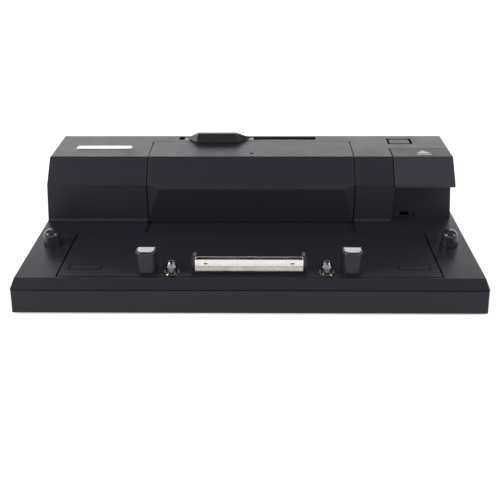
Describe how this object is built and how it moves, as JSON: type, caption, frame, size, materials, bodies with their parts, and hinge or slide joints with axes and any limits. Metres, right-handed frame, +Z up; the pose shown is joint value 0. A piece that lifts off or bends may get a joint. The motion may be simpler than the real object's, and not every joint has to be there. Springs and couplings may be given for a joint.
{
  "type": "laptop docking station",
  "caption": "Flat desktop dock with a raised rear tower, a docking connector with latch posts and guide pins, a sliding battery bar, an eject button and rear ports.",
  "frame": {"origin": "centre of the footprint at floor level, under the rubber feet", "axes": "+X to the user's right, +Y to the rear where the tower stands, +Z up; the front edge faces -Y"},
  "size_m": [0.322, 0.1704, 0.0772],
  "materials": {
    "casing": "fine satin grain, moulded",
    "tab_plastic": "smooth, polished mould",
    "inner_plastic": "plain moulded",
    "steel": "zinc-plated",
    "bright_metal": "bright nickel plate",
    "dark_steel": "black oxide",
    "contact_plastic": "moulded contact carrier",
    "board": "solder mask",
    "cable_film": "laminated film",
    "rubber": "matt",
    "badge": "satin",
    "lens": "smoked lens"
  },
  "bodies": {
    "root": {"base_tray": "casing", "upper_casing": "casing", "dock_panel": "casing", "chassis_plate": "steel", "rear_io_panel": "casing", "rubber_feet": "rubber", "case_screws": "steel", "latch_post_left": "tab_plastic", "latch_post_right": "tab_plastic", "post_cap_left": "bright_metal", "post_cap_right": "bright_metal", "guide_pin_left": "bright_metal", "guide_pin_right": "bright_metal", "peg_guides": "inner_plastic", "shaft_bearings": "inner_plastic", "slide_frame": "inner_plastic", "slide_rails": "steel", "lever_guide": "inner_plastic", "rest_pads": "rubber", "connector_housing": "tab_plastic", "connector_shell": "bright_metal", "connector_contacts": "contact_plastic", "connector_board": "board", "main_board": "board", "board_standoffs": "steel", "flat_cable": "cable_film", "network_port": "bright_metal", "usb_ports": "bright_metal", "display_port": "bright_metal", "dvi_port": "bright_metal", "vga_port": "bright_metal", "dc_jack": "inner_plastic", "audio_jacks": "inner_plastic", "port_nuts": "bright_metal", "lock_plate": "dark_steel", "switch_board": "board", "power_switch": "inner_plastic", "blank_badge": "badge", "crank_pin": "steel", "peg_spring_left": "steel", "peg_spring_right": "steel", "eject_spring": "steel"},
    "battery_slider": {"battery_bar": "casing", "bar_carriage": "steel", "cam_pin": "steel", "status_lens": "lens"},
    "lever": {"lever_tab": "tab_plastic", "lever_plate": "steel"},
    "eject": {"eject_button": "casing", "eject_rod": "steel"},
    "crank": {"eject_crank": "steel"},
    "link": {"pull_link": "steel"},
    "latch": {"latch_shaft": "steel", "latch_hook_left": "steel", "latch_hook_right": "steel"},
    "power": {"power_button": "casing"},
    "peg_left": {"support_peg_left": "tab_plastic"},
    "peg_right": {"support_peg_right": "tab_plastic"}
  },
  "joints": [
    {"name": "bar_slide", "type": "slide", "parent": "root", "child": "battery_slider", "axis": [0, -1, 0], "range_m": [0, 0.02]},
    {"name": "lever_slide", "type": "slide", "parent": "root", "child": "lever", "axis": [1, 0, 0], "range_m": [0, 0.048]},
    {"name": "eject_press", "type": "slide", "parent": "root", "child": "eject", "axis": [0, 0, -1], "range_m": [0, 0.005], "stiffness_N_per_m": 600, "springref_m": -0.002, "deforming": ["eject_spring"]},
    {"name": "crank_turn", "type": "hinge", "parent": "root", "child": "crank", "pos_m": [0.131, 0.075, 0.012], "axis": [1, 0, 0], "range_deg": [0, 9.31]},
    {"name": "link_pull", "type": "slide", "parent": "root", "child": "link", "axis": [0, 1, 0], "range_m": [0, 0.000765]},
    {"name": "latch_turn", "type": "hinge", "parent": "root", "child": "latch", "pos_m": [0, -0.067, 0.013], "axis": [1, 0, 0], "range_deg": [0, 7.16]},
    {"name": "power_press", "type": "slide", "parent": "root", "child": "power", "axis": [0, 0, -1], "range_m": [0, 0.0012], "stiffness_N_per_m": 800, "springref_m": -0.001},
    {"name": "peg_left_sink", "type": "slide", "parent": "root", "child": "peg_left", "axis": [0, 0, -1], "range_m": [0, 0.009], "stiffness_N_per_m": 250, "springref_m": -0.003, "deforming": ["peg_spring_left"]},
    {"name": "peg_right_sink", "type": "slide", "parent": "root", "child": "peg_right", "axis": [0, 0, -1], "range_m": [0, 0.009], "stiffness_N_per_m": 250, "springref_m": -0.003, "deforming": ["peg_spring_right"]}
  ],
  "couplings": [
    {"joint": "lever_slide", "follows": "bar_slide", "ratio": 2.4},
    {"joint": "crank_turn", "follows": "eject_press", "rad_per_m": 31.447},
    {"joint": "link_pull", "follows": "eject_press", "ratio": 0.15094},
    {"joint": "latch_turn", "follows": "eject_press", "rad_per_m": 23.959}
  ]
}
